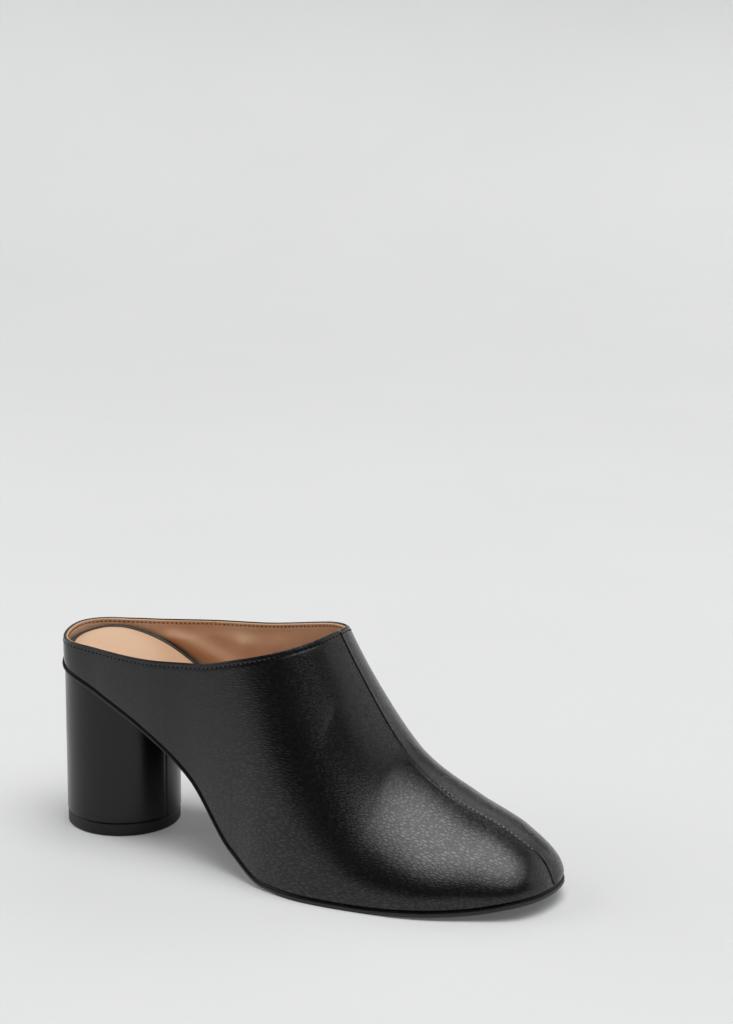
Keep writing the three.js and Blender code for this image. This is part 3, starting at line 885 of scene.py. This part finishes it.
# Radius, share of the height, and offset from there
lift_profile = [
    (lift_radius * 0.3, 0, 0), (lift_radius * 0.6, 0, 0), (lift_radius - 1.6, 0, 0),
    (lift_radius - 0.8, 0, 0), (lift_radius - 0.3, 0, 0.18), (lift_radius, 0, 0.6),
    (lift_radius, 0.35, 0), (lift_radius, 0.7, 0), (lift_radius, 1, -0.5),
    (lift_radius - 0.12, 1, -0.2), (lift_radius - 0.45, 1, 0),
    (lift_radius * 0.6, 1, 0), (lift_radius * 0.3, 1, 0),
]
points, faces = turned(lift_profile, heel_centre)
make_piece("heel_lift", points, faces, "lift_rubber", ["heel_top_piece"])

# %% [markdown]
# Shader maths as Python.
# A material is a small program of nodes. Written out node by node it is long and hard to read, so one
# class wraps a socket and lets Python's own operators add the Math nodes. Any other node comes from one
# method that takes the node's type, its settings and its sockets.

# %% A class for shader values
class Shade:
    """The output of a shader node, which Python's operators work on"""

    def __init__(self, tree, socket):
        self.tree = tree
        self.socket = socket

    def math(self, operation, first, second):
        return node(self.tree, "Math", {"operation": operation}, {0: first, 1: second})

    def __add__(self, other):
        return self.math("ADD", self, other)

    def __sub__(self, other):
        return self.math("SUBTRACT", self, other)

    def __rsub__(self, other):
        return self.math("SUBTRACT", other, self)

    def __mul__(self, other):
        return self.math("MULTIPLY", self, other)

    __radd__ = __add__
    __rmul__ = __mul__


def node(tree, kind, settings, values, output=0):
    made = tree.nodes.new("ShaderNode" + kind)
    for name, value in settings.items():
        setattr(made, name, value)
    for name, value in values.items():
        if isinstance(value, Shade):
            tree.links.new(value.socket, made.inputs[name])
        else:
            made.inputs[name].default_value = value
    return Shade(tree, made.outputs[output])


print("shader helpers ready")

# %% [markdown]
# Grain and wear.
# Leather grain is a field of tiny domes with creases between them. An image of it would repeat, so cells
# are used, stretched and bent by noise. Wear and handling change colour and roughness over soft patches.

# %% Helpers for finishes
looks = {}


def shader(name, color, roughness, build, **sockets):
    material = bpy.data.materials.new(name)
    material.use_nodes = True
    tree = material.node_tree
    principled = tree.nodes["Principled BSDF"]
    principled.inputs["Base Color"].default_value = (*color, 1)
    principled.inputs["Roughness"].default_value = roughness
    for socket, value in sockets.items():
        principled.inputs[socket.replace("_", " ")].default_value = value
    for socket, value in build(tree).items():
        tree.links.new(value.socket, principled.inputs[socket])
    looks[name] = material


def spot(tree):
    """The place on the shoe, in metres, which every pattern is laid on"""
    return node(tree, "TexCoord", {}, {}, "Object")


def tint(tree, factor, dark, light):
    """Mix of two colours. The Mix node's colour sockets are its inputs 6 and 7 and its output 2."""
    values = {"Factor": factor, 6: (*dark, 1), 7: (*light, 1)}
    return node(tree, "Mix", {"data_type": "RGBA"}, values, 2)


CREASE = 0.32
FINE_GRAIN = 0.35


def grain(tree, stretch, cell, depth, strength):
    """Pebbled leather: domes between creases, bent by noise. Cell and depth are in metres."""
    place = node(tree, "VectorMath", {"operation": "MULTIPLY"}, {0: spot(tree), 1: stretch})
    bend = node(tree, "TexNoise", {}, {"Vector": place, "Scale": 0.45 / cell, "Detail": 2.0}, "Color")
    centred = node(tree, "VectorMath", {"operation": "SUBTRACT"}, {0: bend, 1: (0.5, 0.5, 0.5)})
    moved = node(tree, "VectorMath", {"operation": "MULTIPLY_ADD"}, {0: centred, 1: (cell,) * 3, 2: place})
    places = {"Vector": moved, "Scale": 1 / cell}
    cells = node(tree, "TexVoronoi", {"feature": "DISTANCE_TO_EDGE"}, places)
    soft = {"interpolation_type": "SMOOTHSTEP"}
    domes = node(tree, "MapRange", soft, {"Value": cells, "From Max": CREASE})
    fine = node(tree, "TexNoise", {}, {"Vector": place, "Scale": 3.2 / cell, "Detail": 3.0})
    height = domes + FINE_GRAIN * fine
    return domes, node(tree, "Bump", {}, {"Strength": strength, "Distance": depth, "Height": height})


def patches(tree, scale, low=0.0, high=1.0):
    values = {"Vector": spot(tree), "Scale": scale, "Detail": 3.0, "Roughness": 0.55}
    cloud = node(tree, "TexNoise", {}, values)
    levels = {"Value": cloud, "From Min": 0.3, "From Max": 0.7, "To Min": low, "To Max": high}
    return node(tree, "MapRange", {}, levels)


print("finishes to make:", sorted(finishes))

# %% [markdown]
# Black leather on the upper.
# The upper is black and softly glossy. Its grain shows in the highlight as tiny bright domes between darker
# creases, strongly on the vamp and faintly on the quarter. Bump alone breaks a soft highlight into specks,
# so most of the grain goes into the weight of a smooth coat, and only a little into a Bump node. A ramp
# along the shoe fades it from vamp to heel.

# %% Upper leather
COAT_LEVEL = 0.33
MEAN_DOME = 0.55
QUARTER_GRAIN, VAMP_GRAIN = 0.12, 0.62
QUARTER_X, VAMP_X = -0.045, 0.02


def black_leather(tree):
    domes, normal = grain(tree, stretch=(0.3, 1.0, 1.15), cell=0.00105, depth=0.00004, strength=0.7)
    forward = node(tree, "SeparateXYZ", {}, {"Vector": spot(tree)}, "X")
    reach = {"From Min": QUARTER_X, "From Max": VAMP_X, "To Min": QUARTER_GRAIN, "To Max": VAMP_GRAIN}
    flexed = node(tree, "MapRange", {"interpolation_type": "SMOOTHSTEP"}, {"Value": forward, **reach})
    return {
        "Base Color": tint(tree, patches(tree, 22.0), (0.0026, 0.0026, 0.0027), (0.0042, 0.0041, 0.004)),
        "Roughness": patches(tree, 30.0, 0.24, 0.29),
        "Coat Weight": COAT_LEVEL + flexed * (domes - MEAN_DOME),
        "Normal": normal,
    }


shader("black_leather", (0.003,) * 3, 0.3, black_leather, Specular_IOR_Level=0.38, Coat_Roughness=0.23)
print("grain on quarter and vamp:", QUARTER_GRAIN, VAMP_GRAIN)

# %% [markdown]
# Fine reliefs.
# The other finishes are plainer: smooth leather, moulded rubber with an even stipple, and twisted thread.
# Such reliefs are too small to model, so a Bump node gives them, over cells or over noise.

# %% Reliefs and patchy finishes
def pebbled(stretch, cell, depth, strength):
    def relief(tree):
        return grain(tree, stretch, cell, depth, strength)[1]

    return relief


def stippled(scale, detail, strength):
    def relief(tree):
        noise = node(tree, "TexNoise", {}, {"Vector": spot(tree), "Scale": scale, "Detail": detail})
        return node(tree, "Bump", {}, {"Strength": strength, "Distance": 0.00003, "Height": noise})

    return relief


def patchy(name, color, roughness, relief, worn, gloss, **sockets):
    """A finish of soft patches: worn is their scale and two colours, gloss their scale and roughness"""
    def build(tree):
        return {
            "Base Color": tint(tree, patches(tree, worn[0]), *worn[1:]),
            "Roughness": patches(tree, *gloss),
            "Normal": relief(tree),
        }

    shader(name, color, roughness, build, **sockets)


print("still to make:", sorted(set(finishes) - set(looks)))

# %% [markdown]
# Heel cover, lining and sock.
# The heel's leather is the glossiest of the three, because it is drawn tight, and the sock, which a foot
# rubs, is nearly matt. One shared helper makes them, and only their numbers differ.

# %% Smooth leathers
EVEN = (1.0, 1.0, 1.0)
patchy(
    "heel_leather", (0.003,) * 3, 0.4, pebbled((1.0, 1.0, 0.9), 0.0007, 0.00004, 0.35),
    worn=(30.0, (0.0018, 0.0018, 0.0019), (0.003, 0.0029, 0.0028)), gloss=(40.0, 0.19, 0.25),
    Specular_IOR_Level=0.38,
)
patchy(
    "tan_lining", (0.4, 0.22, 0.12), 0.5, pebbled(EVEN, 0.0007, 0.00004, 0.35),
    worn=(45.0, (0.6, 0.342, 0.193), (0.7, 0.44, 0.28)), gloss=(60.0, 0.34, 0.46),
)
patchy(
    "tan_sock", (0.75, 0.48, 0.3), 0.55, pebbled(EVEN, 0.0006, 0.00002, 0.2),
    worn=(35.0, (0.695, 0.434, 0.269), (0.75, 0.495, 0.325)), gloss=(50.0, 0.5, 0.6),
)
print("leathers:", sorted(looks))

# %% [markdown]
# Rubber and thread.
# The wrapped edge, the sole and the top piece are black in three degrees, and the top piece is the dullest.
# Thread needs no patches, because a stitch is smaller than they are.

# %% Rubber, thread and all finishes
RUBBER = stippled(2600.0, 2.0, 0.25)
BLACKS = [
    ("dark_edge", 0.012, 0.45, ((0.012, 0.012, 0.012), (0.02, 0.019, 0.018)), (0.4, 0.5), {}),
    ("sole_rubber", 0.008, 0.45, ((0.008,) * 3, (0.013,) * 3), (0.36, 0.46), {}),
    (
        "lift_rubber", 0.004, 0.5, ((0.004, 0.004, 0.004), (0.006, 0.006, 0.0058)), (0.42, 0.52),
        {"Specular_IOR_Level": 0.34},
    ),
]
for name, level, roughness, colors, gloss, sockets in BLACKS:
    patchy(name, (level,) * 3, roughness, RUBBER, (60.0, *colors), (80.0, *gloss), **sockets)


def thread(tree):
    return {"Normal": stippled(4000.0, 1.0, 0.4)(tree)}


shader("black_thread", (0.001,) * 3, 0.9, thread, Specular_IOR_Level=0.05)
shader("brown_thread", (0.05, 0.02, 0.01), 0.7, thread)
# The seam threads' pale grey is a painted highlight, standing in for the glints on the threads.
shader("grey_thread_painted_highlight", (0.34, 0.34, 0.34), 0.4, thread)
for finish, pieces in finishes.items():
    for piece in pieces:
        piece.data.materials.append(looks[finish])
print(len(looks), "finishes on", sum(map(len, finishes.values())), "pieces")

# %% [markdown]
# The paper.
# A product photo is taken on paper that runs up into a wall, so that no horizon shows. A plane would end in
# sight, so here the paper is a wide bowl: flat under the shoe and rising far away on every side. A faint
# glow of its own stands for the light that a bright studio throws back.

# %% Bowl of pale paper
BOWL_FLAT = 1.3
BOWL_WIDE = 2.3
BOWL_HIGH = 0.5
BOWL_STEPS = 24
BOWL_TURNS = 96
rings = [(0.0, 0.0), (0.3, 0.0), (0.7, 0.0), (BOWL_FLAT, 0.0)]
for k in range(1, BOWL_STEPS + 1):
    angle = math.pi / 2 * k / BOWL_STEPS
    rings.append((
        BOWL_FLAT + (BOWL_WIDE - BOWL_FLAT) * math.sin(angle),
        BOWL_HIGH * (1 - math.cos(angle)),
    ))
bowl_points, bowl_faces = [], []
for ring_radius, ring_height in rings:
    for k in range(BOWL_TURNS):
        angle = 2 * math.pi * k / BOWL_TURNS
        bowl_points.append((ring_radius * math.cos(angle), ring_radius * math.sin(angle), ring_height))
for ring in range(len(rings) - 1):
    for k in range(BOWL_TURNS):
        a, b = ring * BOWL_TURNS + k, ring * BOWL_TURNS + (k + 1) % BOWL_TURNS
        bowl_faces.append([a + BOWL_TURNS, b + BOWL_TURNS, b, a])
bowl_mesh = bpy.data.meshes.new("paper")
bowl_mesh.from_pydata(bowl_points, [], bowl_faces)
bowl_mesh.validate()
bowl_mesh.polygons.foreach_set("use_smooth", np.ones(len(bowl_mesh.polygons), bool))
paper = bpy.data.objects.new("paper", bowl_mesh)
bpy.context.scene.collection.objects.link(paper)


def paper_grain(tree):
    return {"Base Color": tint(tree, patches(tree, 3.0), (0.675, 0.681, 0.678), (0.695, 0.701, 0.698))}


glow = {"Emission_Color": (0.98, 1.0, 0.99, 1), "Emission_Strength": 0.08}
shader("paper", (0.6, 0.6, 0.6), 0.95, paper_grain, **glow)
bowl_mesh.materials.append(looks["paper"])
print("paper of", 2 * BOWL_WIDE, "m")

# %% [markdown]
# Soft panels.
# Black leather shows little but what it mirrors. A bright round panel overhead with a weaker, wider one
# about it gives the vamp its highlight with a soft edge, and no lamp stands on the viewer's side, which
# keeps the leather below the highlight deep black. Panels at the sides and behind light heel and quarter.
# A sun or spot would give a hard spark, but the size of an area light sets how soft a highlight is.

# %% Lights
def panel(name, place, aim, size, power, shape="RECTANGLE"):
    light = bpy.data.lights.new(name, "AREA")
    light.shape = shape
    light.size, light.size_y = size
    light.energy = power
    lamp = bpy.data.objects.new(name, light)
    lamp.location = place
    lamp.rotation_euler = (Vector(aim) - Vector(place)).to_track_quat("-Z", "Y").to_euler()
    bpy.context.scene.collection.objects.link(lamp)


def polar(azimuth, elevation, distance):
    a, e = math.radians(azimuth), math.radians(elevation)
    return Vector((math.cos(a) * math.cos(e), math.sin(a) * math.cos(e), math.sin(e))) * distance


def panel_power(radiance, size, fill=1.0):
    return radiance * math.pi * size[0] * size[1] * fill


# Overhead: name, place, size and radiance. Around: name, azimuth, elevation, distance, size and radiance.
OVERHEAD = [
    ("sky_panel", (0.55, -0.1, 4.0), (2.9, 2.6), 3.0),
    ("halo_panel", (1.5, -0.65, 4.1), (5.0, 4.3), 1.9),
]
AROUND = [
    ("right_panel", 42, 24, 3.0, (3.4, 2.2), 0.8),
    ("left_panel", -167, 28, 2.6, (2.3, 2.0), 1.9),
    ("back_panel", 100, 40, 3.0, (2.2, 1.6), 1.0),
]
for name, place, size, radiance in OVERHEAD:
    power = panel_power(radiance, size, math.pi / 4)
    panel(name, place, (*place[:2], 0.0), size, power, "ELLIPSE")
for name, azimuth, elevation, distance, size, radiance in AROUND:
    place = polar(azimuth, elevation, distance)
    panel(name, place, (0.0, 0.0, 0.05), size, panel_power(radiance, size))

# %% [markdown]
# The room.
# The room is dark to the leather and pale to the eye, where it shows over the paper's edge. One brightness
# for both would grey the leather, so a Light Path node tells the eye's rays from the others.

# %% World and colour
world = bpy.data.worlds.new("room")
bpy.context.scene.world = world
world.use_nodes = True
room = world.node_tree
seen = node(room, "LightPath", {}, {}, "Is Camera Ray")
room_background = room.nodes["Background"]
room_tint = tint(room, seen, (0.03, 0.03, 0.03), (0.76, 0.775, 0.77))
room.links.new(room_tint.socket, room_background.inputs["Color"])
bpy.context.scene.view_settings.view_transform = "Standard"
print("view transform:", bpy.context.scene.view_settings.view_transform)

# %% [markdown]
# The camera.
# The viewer stands in front of the shoe's outer side and a little above it. A Track To constraint would aim
# it, but not give the slight roll, so the camera is placed by its distances to the shoe and turned by
# heading, pitch and roll.

# %% Camera
CAMERA_PLACE = np.array([492.73, -681.01, 320.77])
HEADING, PITCH, ROLL = (math.radians(angle) for angle in (27.08, 12.31, 0.77))
FOCAL = 67.5
SENSOR_WIDTH = 36

right = Vector((math.cos(HEADING), math.sin(HEADING), 0))
forward = Vector((
    -math.sin(HEADING) * math.cos(PITCH),
    math.cos(HEADING) * math.cos(PITCH),
    -math.sin(PITCH),
))
above = right.cross(forward)
rolled_right = right * math.cos(ROLL) + above * math.sin(ROLL)
rolled_above = above * math.cos(ROLL) - right * math.sin(ROLL)

camera = bpy.data.objects.new("camera", bpy.data.cameras.new("camera"))
camera.data.lens = FOCAL
camera.data.sensor_width = SENSOR_WIDTH
turn = Matrix((rolled_right, rolled_above, -forward)).transposed()
camera.matrix_world = Matrix.Translation(Vector(to_frame(CAMERA_PLACE))) @ turn.to_4x4()
bpy.context.scene.collection.objects.link(camera)
bpy.context.scene.camera = camera
print("camera at", [round(value, 3) for value in camera.matrix_world.translation])
